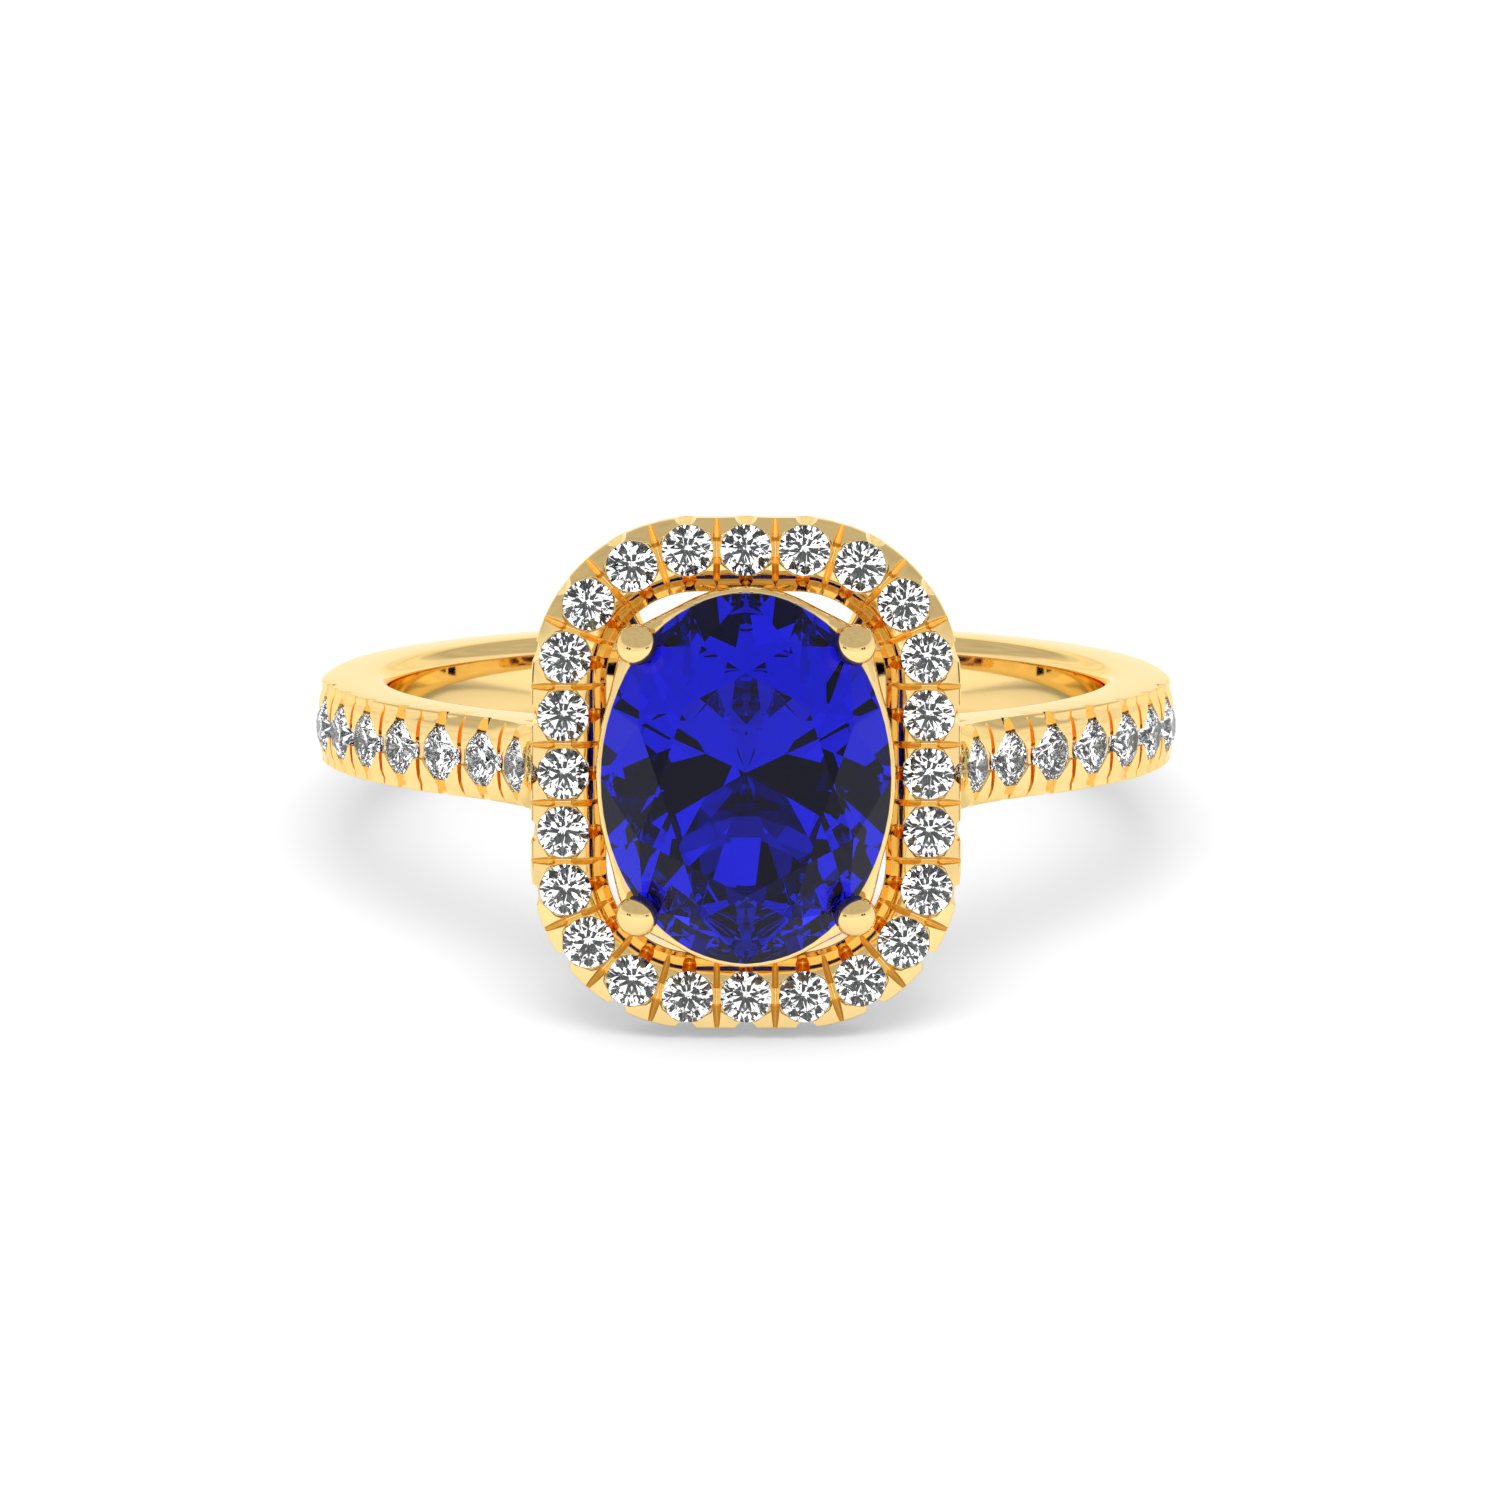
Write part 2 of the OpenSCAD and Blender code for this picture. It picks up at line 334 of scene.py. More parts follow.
def offset_outline(points, distance):
    """A counter-clockwise outline moved outward by a distance."""
    out = []
    n = len(points)
    for k in range(n):
        before, here, after = (Vector(points[j]) for j in ((k - 1) % n, k, (k + 1) % n))
        a, b = (here - before).normalized(), (after - here).normalized()
        normal = (Vector((a.y, -a.x)) + Vector((b.y, -b.x))).normalized()
        out.append(tuple(here + normal * distance / max(normal.dot(Vector((a.y, -a.x))), 0.5)))
    return out


def opening(top, bottom, side, tab):
    """The cut that shapes the tabs round a stone: straight edges beside it, bevelled above.

    Top and bottom give two corners each, as (U, V), of the tabs on either side of V.
    """
    right = [(bottom[0][0], bottom[0][1]), (bottom[1][0], bottom[1][1]), (side, -0.12)]
    right += [(side, 0.12), (top[1][0], top[1][1]), (top[0][0], top[0][1])]
    outline = right + [(-u, v) for u, v in reversed(right)]
    levels = ((-0.03, 0.0), (tab - 0.045, 0.0), (tab + 0.01, 0.055), (0.8, 0.055))
    return loft([[(u, v, w) for u, v in offset_outline(outline, d)] for w, d in levels])


def groove(v_near, v_far, wide, narrow, deep, shallow, tab):
    """A graver's cut along V, round at the bottom, from beside the stones to an edge."""
    sides = 16
    rings = []
    for f in (0.0, 0.3, 0.6, 0.85, 1.0):
        half = wide + (narrow - wide) * f * f
        depth = deep + (shallow - deep) * f
        rings.append(
            [
                (
                    half * math.cos(2 * math.pi * k / sides),
                    v_near + (v_far - v_near) * f,
                    tab + depth * math.sin(2 * math.pi * k / sides),
                )
                for k in range(sides)
            ]
        )
    return loft(rings)


def web_cut(half_u, half_v):
    """A V-shaped cut across the bridge of metal between two stones."""
    ring = [(half_u, -0.03), (0.02, -0.2), (-0.02, -0.2), (-half_u, -0.03)]
    ring += [(-half_u, 0.4), (half_u, 0.4)]
    return loft([[(u, v, w) for u, w in ring] for v in (-half_v, half_v)])


def pit(half_u, v_near, v_far, depth):
    """A square pit that narrows downward, beside a stone."""
    rings = []
    for w, share in ((-depth, 0.1), (-0.25, 1.0), (0.5, 1.0)):
        middle, half_v = (v_near + v_far) / 2, share * (v_near - v_far) / 2
        u = share * half_u
        corners = ((-u, half_v), (u, half_v), (u, -half_v), (-u, -half_v))
        rings.append([(x, middle + y, w) for x, y in corners])
    return loft(rings)


def flute(v_top, v_bottom, r, depth):
    """A rounded notch that bites into an edge at a stone's middle and fades down the wall."""
    sides = 32
    rings = []
    for w, grow, f in ((0.4, 1, 0), (-depth * 0.7, 1, 0.7), (-depth, 0.75, 0.95), (-depth * 1.1, 0.3, 1)):
        v = v_top + (v_bottom - v_top) * f
        rings.append(
            [
                (
                    grow * r * math.cos(2 * math.pi * k / sides),
                    v + grow * r * math.sin(2 * math.pi * k / sides),
                    w,
                )
                for k in range(sides)
            ]
        )
    return loft(rings)


def pave(mesh, at_stones, between, cuts):
    """Cuts a row of seats, then the notches, then the webs and grooves, out of the metal."""
    stone_cuts, gap_cuts = cuts
    for shape in stone_cuts:
        mesh = combined(mesh, joined([(shape, m) for m in at_stones]), "DIFFERENCE")
    for shape in gap_cuts:
        mesh = combined(mesh, joined([(shape, m) for m in between]), "DIFFERENCE")
    return mesh


# ---- Materials ----


def node_material(name):
    material = bpy.data.materials.new(name)
    material.use_nodes = True
    tree = material.node_tree
    return material, tree, tree.nodes["Principled BSDF"]


def link(tree, a, b):
    tree.links.new(a, b)


def maths(tree, operation, *values):
    """A Math node over numbers and sockets."""
    node = tree.nodes.new("ShaderNodeMath")
    node.operation = operation
    for k, value in enumerate(values):
        if isinstance(value, (int, float)):
            node.inputs[k].default_value = value
        else:
            link(tree, value, node.inputs[k])
    return node.outputs[0]


def object_noise(tree, scale, detail=2.0, stretch=(1, 1, 1)):
    """Noise in the piece's own coordinates, with its size given in features per metre."""
    coords = tree.nodes.new("ShaderNodeTexCoord")
    mapping = tree.nodes.new("ShaderNodeMapping")
    mapping.inputs["Scale"].default_value = stretch
    noise = tree.nodes.new("ShaderNodeTexNoise")
    noise.inputs["Scale"].default_value = scale
    noise.inputs["Detail"].default_value = detail
    link(tree, coords.outputs["Object"], mapping.inputs["Vector"])
    link(tree, mapping.outputs["Vector"], noise.inputs["Vector"])
    return noise.outputs["Fac"]


def ranged(tree, value, low, high):
    node = tree.nodes.new("ShaderNodeMapRange")
    node.inputs["From Min"].default_value, node.inputs["From Max"].default_value = 0.3, 0.7
    node.inputs["To Min"].default_value, node.inputs["To Max"].default_value = low, high
    link(tree, value, node.inputs["Value"])
    return node.outputs["Result"]


def gold(name, rough_low, rough_high, scratch):
    """Polished yellow gold: soft-edged, with faint polishing marks and uneven gloss.

    Rays that have passed through a stone see it painted a flat neutral grey instead of gold, a painted
    reflection that keeps the stones from looking yellow.
    """
    material, tree, shader = node_material(name)
    shader.inputs["Metallic"].default_value = 1.0
    shader.inputs["Specular Tint"].default_value = (0.98, 0.87, 0.58, 1)
    ramp = tree.nodes.new("ShaderNodeMix")
    ramp.data_type = "RGBA"
    ramp.inputs[6].default_value = (0.93, 0.66, 0.27, 1)
    ramp.inputs[7].default_value = (0.96, 0.71, 0.32, 1)
    link(tree, object_noise(tree, 900, 3), ramp.inputs[0])
    # Painted reflection: past a stone's surface the base colour switches to a neutral grey, so the stones
    # reflect grey metal instead of gold.
    path = tree.nodes.new("ShaderNodeLightPath")
    pale = tree.nodes.new("ShaderNodeMix")
    pale.data_type = "RGBA"
    pale.inputs[7].default_value = (0.62, 0.62, 0.62, 1)
    link(tree, maths(tree, "GREATER_THAN", path.outputs["Transmission Depth"], 0.5), pale.inputs[0])
    link(tree, ramp.outputs[2], pale.inputs[6])
    link(tree, pale.outputs[2], shader.inputs["Base Color"])
    rough = ranged(tree, object_noise(tree, 2500, 4), rough_low, rough_high)
    link(tree, rough, shader.inputs["Roughness"])
    bevel = tree.nodes.new("ShaderNodeBevel")
    bevel.samples = 6
    bevel.inputs["Radius"].default_value = 0.02 * MM
    bump = tree.nodes.new("ShaderNodeBump")
    bump.inputs["Strength"].default_value = scratch
    bump.inputs["Distance"].default_value = 0.002 * MM
    link(tree, object_noise(tree, 9000, 2, (1, 1, 6)), bump.inputs["Height"])
    link(tree, bevel.outputs["Normal"], bump.inputs["Normal"])
    link(tree, bump.outputs["Normal"], shader.inputs["Normal"])
    return material


def gem(name, colours, ior, rough, glare):
    """A cut stone: clear, faceted, its colour a little uneven inside."""
    material, tree, shader = node_material(name)
    shader.inputs["Transmission Weight"].default_value = 1.0
    shader.inputs["IOR"].default_value = ior
    shader.inputs["Specular Tint"].default_value = (glare, glare, glare, 1)
    mix = tree.nodes.new("ShaderNodeMix")
    mix.data_type = "RGBA"
    mix.inputs[6].default_value, mix.inputs[7].default_value = colours
    link(tree, object_noise(tree, 700, 2), mix.inputs[0])
    link(tree, mix.outputs[2], shader.inputs["Base Color"])
    link(tree, ranged(tree, object_noise(tree, 4000, 2), 0.0, rough), shader.inputs["Roughness"])
    return material


def floor_material():
    """A plain white sweep, faintly uneven, that stays bright around the ring."""
    material, tree, shader = node_material("white_floor")
    mix = tree.nodes.new("ShaderNodeMix")
    mix.data_type = "RGBA"
    mix.inputs[6].default_value = (0.86, 0.86, 0.86, 1)
    mix.inputs[7].default_value = (0.88, 0.88, 0.88, 1)
    link(tree, object_noise(tree, 30, 3), mix.inputs[0])
    link(tree, mix.outputs[2], shader.inputs["Base Color"])
    shader.inputs["Roughness"].default_value = 0.9
    shader.inputs["Specular IOR Level"].default_value = 0.0
    shader.inputs["Emission Color"].default_value = (1, 1, 1, 1)
    shader.inputs["Emission Strength"].default_value = 0.38
    return material


# ---- Stones ----


def brilliant(table, crown, girdle, pavilion, star, half_r):
    """A brilliant of unit radius, cut facet by facet from a disc; its girdle's top is at W = 0."""
    eighth = math.pi / 8
    star_r = table + star * (1 - table)
    star_w = crown * (1 - (star_r * math.cos(eighth) - table) / (1 - table))
    half_w = -girdle - pavilion * (1 - half_r * math.cos(eighth))

    def point(r, eighths, w):
        return Vector((r * math.cos(eighths * eighth), r * math.sin(eighths * eighth), w))

    facets = [(Vector((0, 0, crown)), Vector((0, 1, crown)), Vector((1, 0, crown)))]
    culet = Vector((0, 0, -girdle - pavilion))
    for k in range(0, 16, 2):
        star_point = point(star_r, k + 1, star_w)
        facets.append((point(table, k, crown), point(table, k + 2, crown), star_point))
        facets.append((point(table, k, crown), point(star_r, k - 1, star_w), star_point))
        facets.append((culet, point(1, k, -girdle), point(half_r, k + 1, half_w)))
        for near in (k, k + 2):
            facets.append((point(1, near, 0), point(1, k + 1, 0), star_point))
            lower = (point(1, near, -girdle), point(1, k + 1, -girdle))
            facets.append((*lower, point(half_r, k + 1, half_w)))

    bm = bmesh.new()
    sides = 64
    verts, faces = turned([(1, culet.z - 0.1), (1, crown + 0.1)], sides)
    made = [bm.verts.new(v) for v in verts]
    for face in faces:
        bm.faces.new([made[k] for k in face])
    bmesh.ops.recalc_face_normals(bm, faces=bm.faces)
    heart = Vector((0, 0, -girdle / 2))
    for a, b, c in facets:
        normal = (b - a).cross(c - a).normalized()
        if normal.dot(heart - a) > 0:
            normal = -normal
        geometry = bm.verts[:] + bm.edges[:] + bm.faces[:]
        bmesh.ops.bisect_plane(
            bm, geom=geometry, dist=1e-5, plane_co=a, plane_no=normal, clear_outer=True
        )
        bmesh.ops.holes_fill(bm, edges=[e for e in bm.edges if e.is_boundary], sides=0)
    bmesh.ops.remove_doubles(bm, verts=bm.verts, dist=1e-4)
    bm.verts.index_update()
    shape = [tuple(v.co) for v in bm.verts], [tuple(v.index for v in f.verts) for f in bm.faces]
    bm.free()
    return shape


def small_stone(name, shape, place, r, material):
    """A round diamond in its seat, turned at random about its own axis."""
    turn = Matrix.Rotation(random.uniform(0, math.pi / 4), 4, "Z")
    mesh = joined([(shape, place @ turn @ Matrix.Scale(r, 4))])
    piece(name, mesh, material, [name], smooth_angle=0)


def centre_stone(gap=0.0):
    """The centre stone's shape, or with a gap the room that it needs in the metal."""
    shape = brilliant(0.6, STONE_CROWN, STONE_GIRDLE, STONE_PAVILION, star=0.5, half_r=0.3)
    place = frame_matrix((1, 0, 0), (0, 0, 1), (0, -1, 0), head_point(0, 0, STONE_LEVEL))
    return joined([(shape, place @ Matrix.Diagonal((STONE_X + gap, STONE_Y + gap, 1, 1)))])


def make_centre_stone(material):
    mesh = centre_stone()
    piece("centre_sapphire", mesh, material, ["centre_sapphire"], smooth_angle=0)


def seated(mesh):
    """Metal with the centre stone's bearing cut into it."""
    return combined(mesh, centre_stone(STONE_GAP), "DIFFERENCE")


# ---- Halo ----


def halo_section():
    """The halo's cross-section as (V outward, W out) pairs, W from the tabs' top."""
    thick = HALO_FACE - HALO_BASE
    edge, inner = HALO_RIM, HALO_INSIDE
    return [
        (-0.3, 0.0),
        (-0.45, -0.012),
        (-0.56, -0.035),
        (-0.64, -0.07),
        (-0.70, -0.12),
        (-TAB_INSIDE + 0.01, -0.18),
        (-TAB_INSIDE - 0.02, -0.27),
        (-TAB_INSIDE - 0.14, -0.46),
        (-inner + 0.02, -0.33),
        (-inner, -0.36),
        (-inner, -thick + 0.06),
        (-inner + 0.06, -thick),
        (edge - 0.12, -thick),
        (edge - 0.08, -thick + 0.06),
        (edge - 0.01, -0.55),
        (edge, -0.15),
        (edge - 0.02, -0.108),
        (edge - 0.05, -0.094),
        (0.3, 0.0),
    ]


def halo_stations():
    """Lengths along the loop, close together round its corners."""
    half_x, half_y, r = halo_outline(0)
    quarter = halo_quarter()
    top, arc = half_x - r, r * math.pi / 2
    first = [0.0] + [top + arc * k / 28 for k in range(29)]
    back = [2 * quarter - s for s in reversed(first)]
    half = first + back[:-1]
    return half + [2 * quarter + s for s in half]


def make_halo(material):
    section = halo_section()
    rings = []
    for s in halo_stations():
        m = halo_place(s, HALO_FACE)
        rings.append([m @ Vector((0, v, w)) for v, w in section])
    mesh = joined([(loft(rings, closed=True), Matrix.Identity(4))])
    step = 4 * halo_quarter() / HALO_COUNT
    girdle = HALO_FACE - HALO_TAB
    at_stones = [halo_place(i * step, girdle) for i in range(HALO_COUNT)]
    between = [halo_place((i + 0.5) * step, girdle) for i in range(HALO_COUNT)]
    cuts = (
        [
            seat(HALO_STONE_R),
            opening(((0.25, 0.59), (0.575, 0.343)), ((0.24, -0.61), (0.58, -0.31)), 0.635, HALO_TAB),
            flute(HALO_RIM + 0.08, HALO_RIM + 0.22, 0.29, 1.6),
            pit(0.16, -0.5, -0.97, 0.75),
        ],
        [
            web_cut(0.17, 0.24),
            groove(0.2, HALO_RIM + 0.04, 0.1, 0.05, 0.36, 0.2, HALO_TAB),
            groove(-0.2, -TAB_INSIDE - 0.22, 0.085, 0.06, 0.34, 0.5, HALO_TAB),
        ],
    )
    mesh = pave(mesh, at_stones, between, cuts)
    piece("halo_frame", mesh, material, ["halo_frame"])


# ---- Band and shoulders ----


def band_section(front):
    """The band's cross-section as (radius, Z); front is 1 at the stones and 0 at the back."""
    half = BAND_HALF_W
    outer = 0.06 * front + 0.28 * (1 - front)
    points = []
    for sign in (1, -1):
        arcs = []
        for k in range(9):
            a = math.pi / 2 * k / 8
            arcs.append((BORE_R + BORE_EDGE_R * (1 - math.cos(a)), half - BORE_EDGE_R * (1 - math.sin(a))))
        for k in range(6):
            a = math.pi / 2 * (1 - k / 5)
            arcs.append((BAND_R - outer * (1 - math.cos(a)), half - outer * (1 - math.sin(a))))
        if sign < 0:
            arcs = [(r, -z) for r, z in reversed(arcs)]
        points += arcs
    return points


def band_body():
    rings = []
    count = 288
    for k in range(count):
        turn = 2 * math.pi * k / count
        off_head = min(turn, 2 * math.pi - turn)
        front = 1 - min(max((off_head - math.radians(84)) / math.radians(14), 0), 1)
        front = front * front * (3 - 2 * front)
        rings.append(
            [(r * math.sin(turn), -r * math.cos(turn), z) for r, z in band_section(front)]
        )
    return joined([(loft(rings, closed=True), Matrix.Identity(4))])


def shoulder_top(t, inset):
    """A point of a shoulder's outer edge: sunk in the band at first, then over its stones."""
    rise = min(max((t - SIDE_START) / 0.8, 0), 1)
    lift = (SIDE_TAB + 0.2) * rise * rise * (3 - 2 * rise) - 0.2
    return side_place(1, t, lift - inset).translation


def shoulder_outline(side, inset):
    """A shoulder seen along the bore, from far down the band out along its stones and back."""
    near, far = 0.0, SIDE_LAST + 3
    for _ in range(30):
        middle = (near + far) / 2
        near, far = (middle, far) if shoulder_top(middle, inset).x > HALO_X else (near, middle)
    steps = 72
    outer = []
    for k in range(steps + 1):
        p = shoulder_top(SIDE_START + (near - SIDE_START) * k / steps, inset)
        outer.append((p.x, -p.y))
    tip = 5.35
    under = [
        (HALO_X, HALO_BASE),
        (HALO_X - 0.5, HALO_BASE),
        (tip, math.sqrt(BAND_R**2 - tip**2)),
    ]
    inside = BAND_R - 0.35
    first, last = math.asin(tip / BAND_R), math.atan2(outer[0][0], outer[0][1])
    for k in range(25):
        a = first + (last - first) * k / 24
        under.append((inside * math.sin(a), inside * math.cos(a)))
    return [(side * x, -y) for x, y in outer + under]


def shoulder_body(side):
    half = BAND_HALF_W
    crown = ((0.35, 0.0), (0.6, 0.03), (0.74, 0.075), (0.87, 0.14), (0.96, 0.2), (half, 0.26))
    levels = [(-z, inset) for z, inset in reversed(crown)] + list(crown)
    rings = [[(x, y, z) for x, y in shoulder_outline(side, inset)] for z, inset in levels]
    return joined([(loft(rings), Matrix.Identity(4))])


def wedge(side):
    """The region that holds a shoulder and none of the band."""
    inner = BAND_R - 0.04
    arc = [LEAVE + (math.radians(18) - LEAVE) * k / 40 for k in range(41)]
    outline = [(inner * math.sin(a), inner * math.cos(a)) for a in arc]
    outline += [(inner * math.sin(arc[-1]), 14), (12, 14), (12, outline[0][1])]
    outline = [(side * x, -y) for x, y in outline]
    rings = [[(x, y, z) for x, y in outline] for z in (-3, 3)]
    return joined([(loft(rings), Matrix.Identity(4))])


def make_shank(material):
    mesh = band_body()
    corners = ((-3.7, -14), (3.7, -14), (3.7, -SEAT_LEVEL), (-3.7, -SEAT_LEVEL))
    flat = loft([[(x, y, z) for x, y in corners] for z in (-3, 3)])
    mesh = combined(mesh, joined([(flat, Matrix.Identity(4))]), "DIFFERENCE")
    for side in (1, -1):
        mesh = combined(mesh, shoulder_body(side), "UNION")
    hollow = turned([(0.3, -0.75), (0.95, 0.01), (1.0, 0.5)])
    over_head = frame_matrix((1, 0, 0), (0, 0, 1), (0, -1, 0), head_point(0, 0, SEAT_LEVEL))
    mesh = seated(combined(mesh, joined([(hollow, over_head)]), "DIFFERENCE"))
    at_stones, between = [], []
    for side in (1, -1):
        at_stones += [side_place(side, side_length(i)) for i in range(SIDE_COUNT)]
        between += [side_place(side, side_length(i - 0.5)) for i in range(SIDE_COUNT)]
    edge = BAND_HALF_W
    cuts = (
        [
            seat(SIDE_STONE_R, 0.11),
            opening(((0.2, 0.64), (0.57, 0.2)), ((0.2, -0.64), (0.57, -0.2)), 0.665, SIDE_TAB),
            groove(0.58, edge + 0.03, 0.19, 0.18, 0.34, 0.36, SIDE_TAB),
            groove(-0.58, -edge - 0.03, 0.19, 0.18, 0.34, 0.36, SIDE_TAB),
        ],
        [
            web_cut(0.2, 0.2),
            groove(0.16, edge + 0.03, 0.075, 0.045, 0.35, 0.2, SIDE_TAB),
            groove(-0.16, -edge - 0.03, 0.075, 0.045, 0.35, 0.2, SIDE_TAB),
        ],
    )
    mesh = pave(mesh, at_stones, between, cuts)
    for side, name in ((-1, "left_shoulder"), (1, "right_shoulder")):
        part = combined(mesh.copy(), wedge(side), "INTERSECT")
        piece(name, part, material, [name])
        mesh = combined(mesh, wedge(side), "DIFFERENCE")
    piece("band", mesh, material, ["band"])


# ---- Basket ----


def oval_rail(half_x, half_y, level, width, height, wing=0.0):
    """A wire with rounded edges, swept round an oval, with wings out at the prongs."""
    sides, steps = 16, 240
    reach = math.radians(12)
    prong = math.atan2(PRONG_Y / half_y, PRONG_X / half_x)
    rings = []
    for k in range(steps):
        a = 2 * math.pi * k / steps
        out = Vector((math.cos(a) / half_x, math.sin(a) / half_y)).normalized()
        away = abs(math.atan2(abs(math.sin(a)), abs(math.cos(a))) - prong) / reach
        web = wing * math.exp(-away * away)
        ring = []
        for j in range(sides):
            b = 2 * math.pi * j / sides
            sx = math.copysign(abs(math.cos(b)) ** 0.6, math.cos(b)) * (width + web) / 2 + web / 2
            sz = math.copysign(abs(math.sin(b)) ** 0.6, math.sin(b)) * height / 2
            x, y = half_x * math.cos(a) + out.x * sx, half_y * math.sin(a) + out.y * sx
            ring.append(head_point(x, y, level + sz))
        rings.append(ring)
    return joined([(loft(rings, closed=True), Matrix.Identity(4))])


def swept(points, radii, sides=32):
    """A round wire through points, with a radius at each; its ends are closed."""
    rings = []
    for i, p in enumerate(points):
        a, b = points[max(i - 1, 0)], points[min(i + 1, len(points) - 1)]
        run = (b - a).normalized()
        u = run.cross(Vector((0, 0, 1))).normalized()
        v = run.cross(u)
        rings.append(
            [
                p + radii[i] * (math.cos(2 * math.pi * k / sides) * u + math.sin(2 * math.pi * k / sides) * v)
                for k in range(sides)
            ]
        )
    return loft(rings)


def make_prong(name, sx, sy, material):
    """A wire that rises outside the girdle and ends in a ball over the stone's edge."""
    foot = head_point(sx * 1.75, sy * 2.2, SEAT_LEVEL + 0.05)
    ball = head_point(sx * PRONG_X, sy * PRONG_Y, STONE_LEVEL + 0.35)
    run = (ball - foot).normalized()
    points, radii = [], []
    for k in range(9):
        f = k / 8
        points.append(foot.lerp(ball - run * 0.44, f))
        radii.append(0.4 - 0.06 * f + (0.0 if k else -0.05))
    for k in range(1, 25):
        a = math.pi * (0.16 + 0.84 * k / 24)
        height = 1.04 if a < math.pi / 2 else 0.8
        points.append(ball - run * (PRONG_R * height * math.cos(a)))
        radii.append(max(PRONG_R * math.sin(a), 0.004))
    mesh = seated(joined([(swept(points, radii), Matrix.Identity(4))]))
    piece("prong_" + name, mesh, material, ["prong_" + name])


def make_bridge(name, sx, sy, material):
    """A small tie from the basket's rail to the halo's inside wall, at a corner."""
    inner = head_point(sx * 2.1, sy * 2.63, HALO_BASE + 0.6)
    outer = head_point(sx * 2.9, sy * 3.63, HALO_BASE + 0.6)
    points = [inner.lerp(outer, k / 8) for k in range(9)]
    radii = [0.28 + 0.12 * abs(k / 4 - 1) ** 2 for k in range(9)]
    mesh = joined([(swept(points, radii, 20), Matrix.Identity(4))])
    piece("bridge_" + name, mesh, material, ["bridge_" + name])


def make_basket(material):
    upper = oval_rail(STONE_X - 0.05, STONE_Y - 0.05, STONE_LEVEL - 0.42, 0.34, 0.5, 0.3)
    piece("upper_basket_rail", seated(upper), material, ["upper_basket_rail"])
    lower = oval_rail(2.12, 2.67, SEAT_LEVEL + 0.34, 0.62, 0.62)
    piece("lower_basket_rail", lower, material, ["lower_basket_rail"])
    for name, (sx, sy) in CORNERS.items():
        make_prong(name, sx, sy, material)
        make_bridge(name, sx, sy, material)


# ---- Stage ----


def make_floor():
    lowest = cad_box[0][2]
    half = 3.0
    mesh = bpy.data.meshes.new("floor")
    corners = [(-half, -half), (half, -half), (half, half), (-half, half)]
    mesh.from_pydata([(x, y, lowest) for x, y in corners], [], [(0, 1, 2, 3)])
    mesh.materials.append(floor_material())
    floor = bpy.data.objects.new("floor", mesh)
    bpy.context.scene.collection.objects.link(floor)


def patched(tree, base, azimuth, elevation, patches):
    """A sky level with rectangular patches, each (azimuth, elevation, half sizes, level)."""
    for az, el, half_az, half_el, level in patches:
        across = maths(tree, "COMPARE", azimuth, math.radians(az), math.radians(half_az))
        up = maths(tree, "COMPARE", elevation, math.radians(el), math.radians(half_el))
        mix = tree.nodes.new("ShaderNodeMix")
        link(tree, maths(tree, "MULTIPLY", across, up), mix.inputs[0])
        if isinstance(base, (int, float)):
            mix.inputs[2].default_value = base
        else:
            link(tree, base, mix.inputs[2])
        mix.inputs[3].default_value = level
        base = mix.outputs[0]
    return base


def sky_noise(tree, scale, stretch):
    coords = tree.nodes.new("ShaderNodeTexCoord")
    mapping = tree.nodes.new("ShaderNodeMapping")
    mapping.inputs["Scale"].default_value = stretch
    noise = tree.nodes.new("ShaderNodeTexNoise")
    noise.inputs["Scale"].default_value = scale
    noise.inputs["Detail"].default_value = 1.0
    link(tree, coords.outputs["Generated"], mapping.inputs["Vector"])
    link(tree, mapping.outputs["Vector"], noise.inputs["Vector"])
    return noise.outputs["Fac"]


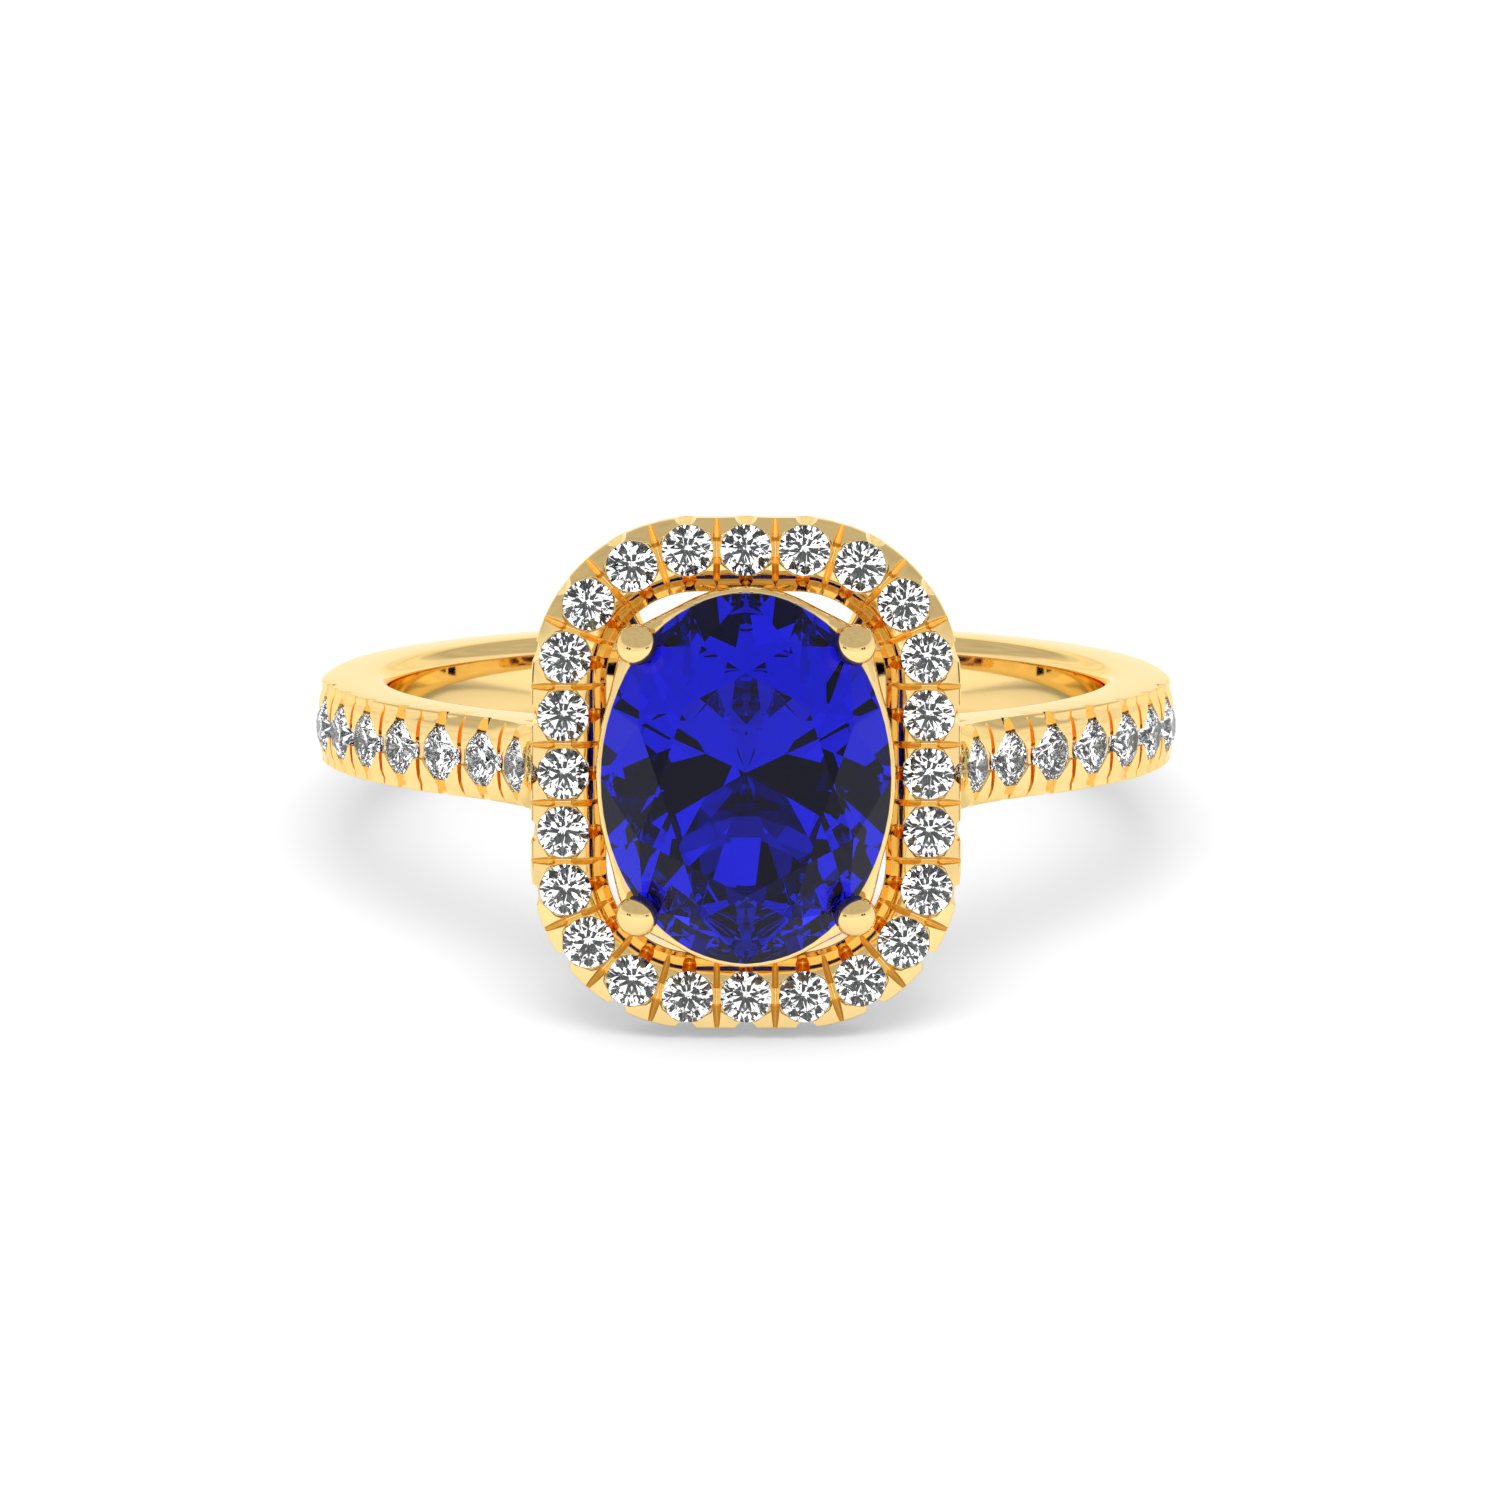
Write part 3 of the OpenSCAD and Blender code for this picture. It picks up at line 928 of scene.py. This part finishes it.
def make_world():
    """A pale studio with a bright horizon, dark flags in front and a grey ceiling.

    Light that has passed into a stone meets a pattern of lamps and blacks instead, so that
    the stones show the contrast they have among a room's small lamps.
    """
    world = bpy.data.worlds.new("studio")
    bpy.context.scene.world = world
    world.use_nodes = True
    tree = world.node_tree
    coords = tree.nodes.new("ShaderNodeTexCoord")
    split = tree.nodes.new("ShaderNodeSeparateXYZ")
    link(tree, coords.outputs["Generated"], split.inputs[0])
    x, y, z = split.outputs
    elevation = maths(tree, "ARCSINE", z)
    azimuth = maths(tree, "ARCTAN2", x, maths(tree, "MULTIPLY", y, -1.0))

    ramp = tree.nodes.new("ShaderNodeMapRange")
    ramp.interpolation_type = "SMOOTHSTEP"
    ramp.inputs["From Min"].default_value = math.radians(10)
    ramp.inputs["From Max"].default_value = math.radians(20)
    ramp.inputs["To Min"].default_value, ramp.inputs["To Max"].default_value = 1.05, 0.62
    link(tree, elevation, ramp.inputs["Value"])
    stripes = ranged(tree, sky_noise(tree, 5.0, (0.6, 0.6, 3.0)), 0.88, 1.08)
    studio = maths(tree, "MULTIPLY", ramp.outputs["Result"], stripes)
    flags = [(az, 7, 4.2, 4, 0.0) for az in (-53, -42, 42, 53)]
    studio = patched(tree, studio, azimuth, elevation, flags)

    inside = maths(tree, "GREATER_THAN", sky_noise(tree, 9.0, (1, -1, 1)), 0.475)
    inside = maths(tree, "MULTIPLY_ADD", inside, -1.48, 1.5)
    blacks = [(0, 24, 11, 9, 0.02), (-95, 30, 12, 22, 0.02), (95, 30, 12, 22, 0.02)]
    lamps = [(az, 48, 6, 6, 5.0) for az in (-60, 0, 60, 150, -150)]
    inside = patched(tree, inside, azimuth, elevation, blacks + lamps)

    path = tree.nodes.new("ShaderNodeLightPath")
    mix = tree.nodes.new("ShaderNodeMix")
    link(tree, maths(tree, "GREATER_THAN", path.outputs["Transmission Depth"], 0.5), mix.inputs[0])
    link(tree, studio, mix.inputs[2])
    link(tree, inside, mix.inputs[3])
    background = tree.nodes["Background"]
    background.inputs["Color"].default_value = (1, 1, 1, 1)
    link(tree, mix.outputs[0], background.inputs["Strength"])


def make_lights():
    data = bpy.data.lights.new("overhead", "AREA")
    data.shape, data.size, data.size_y = "RECTANGLE", 0.2, 0.2
    data.energy = 0.34
    light = bpy.data.objects.new("overhead", data)
    light.location = (0.0, -0.14, 0.26)
    light.visible_glossy = False
    light.visible_transmission = False
    bpy.context.scene.collection.objects.link(light)


# ---- Everything ----

scene = bpy.context.scene
scene.view_settings.view_transform = "Standard"
scene.cycles.caustics_reflective = False
scene.cycles.caustics_refractive = False
scene.cycles.max_bounces = 24
scene.cycles.glossy_bounces = 12
scene.cycles.transmission_bounces = 24

make_camera()
make_world()
make_lights()
make_floor()

gold_polished = gold("polished_gold", 0.02, 0.06, 0.04)
diamond = gem("diamond", ((1, 1, 1, 1), (0.96, 0.98, 1.0, 1)), 2.417, 0.01, 0.42)
sapphire = gem("sapphire", ((0.004, 0.005, 0.42, 1), (0.007, 0.009, 0.5, 1)), 1.77, 0.01, 0.2)

make_shank(gold_polished)
make_halo(gold_polished)
make_basket(gold_polished)
make_centre_stone(sapphire)
melee = brilliant(0.56, 0.30, 0.06, 0.84, star=0.5, half_r=0.22)
for i in range(HALO_COUNT):
    place = halo_place(i * 4 * halo_quarter() / HALO_COUNT, HALO_FACE - HALO_TAB)
    small_stone(f"halo_diamond_{i + 1:02d}", melee, place, HALO_STONE_R, diamond)
for side, word in ((-1, "left"), (1, "right")):
    for i in range(SIDE_COUNT):
        place = side_place(side, side_length(i))
        small_stone(f"{word}_shoulder_diamond_{i + 1}", melee, place, SIDE_STONE_R, diamond)
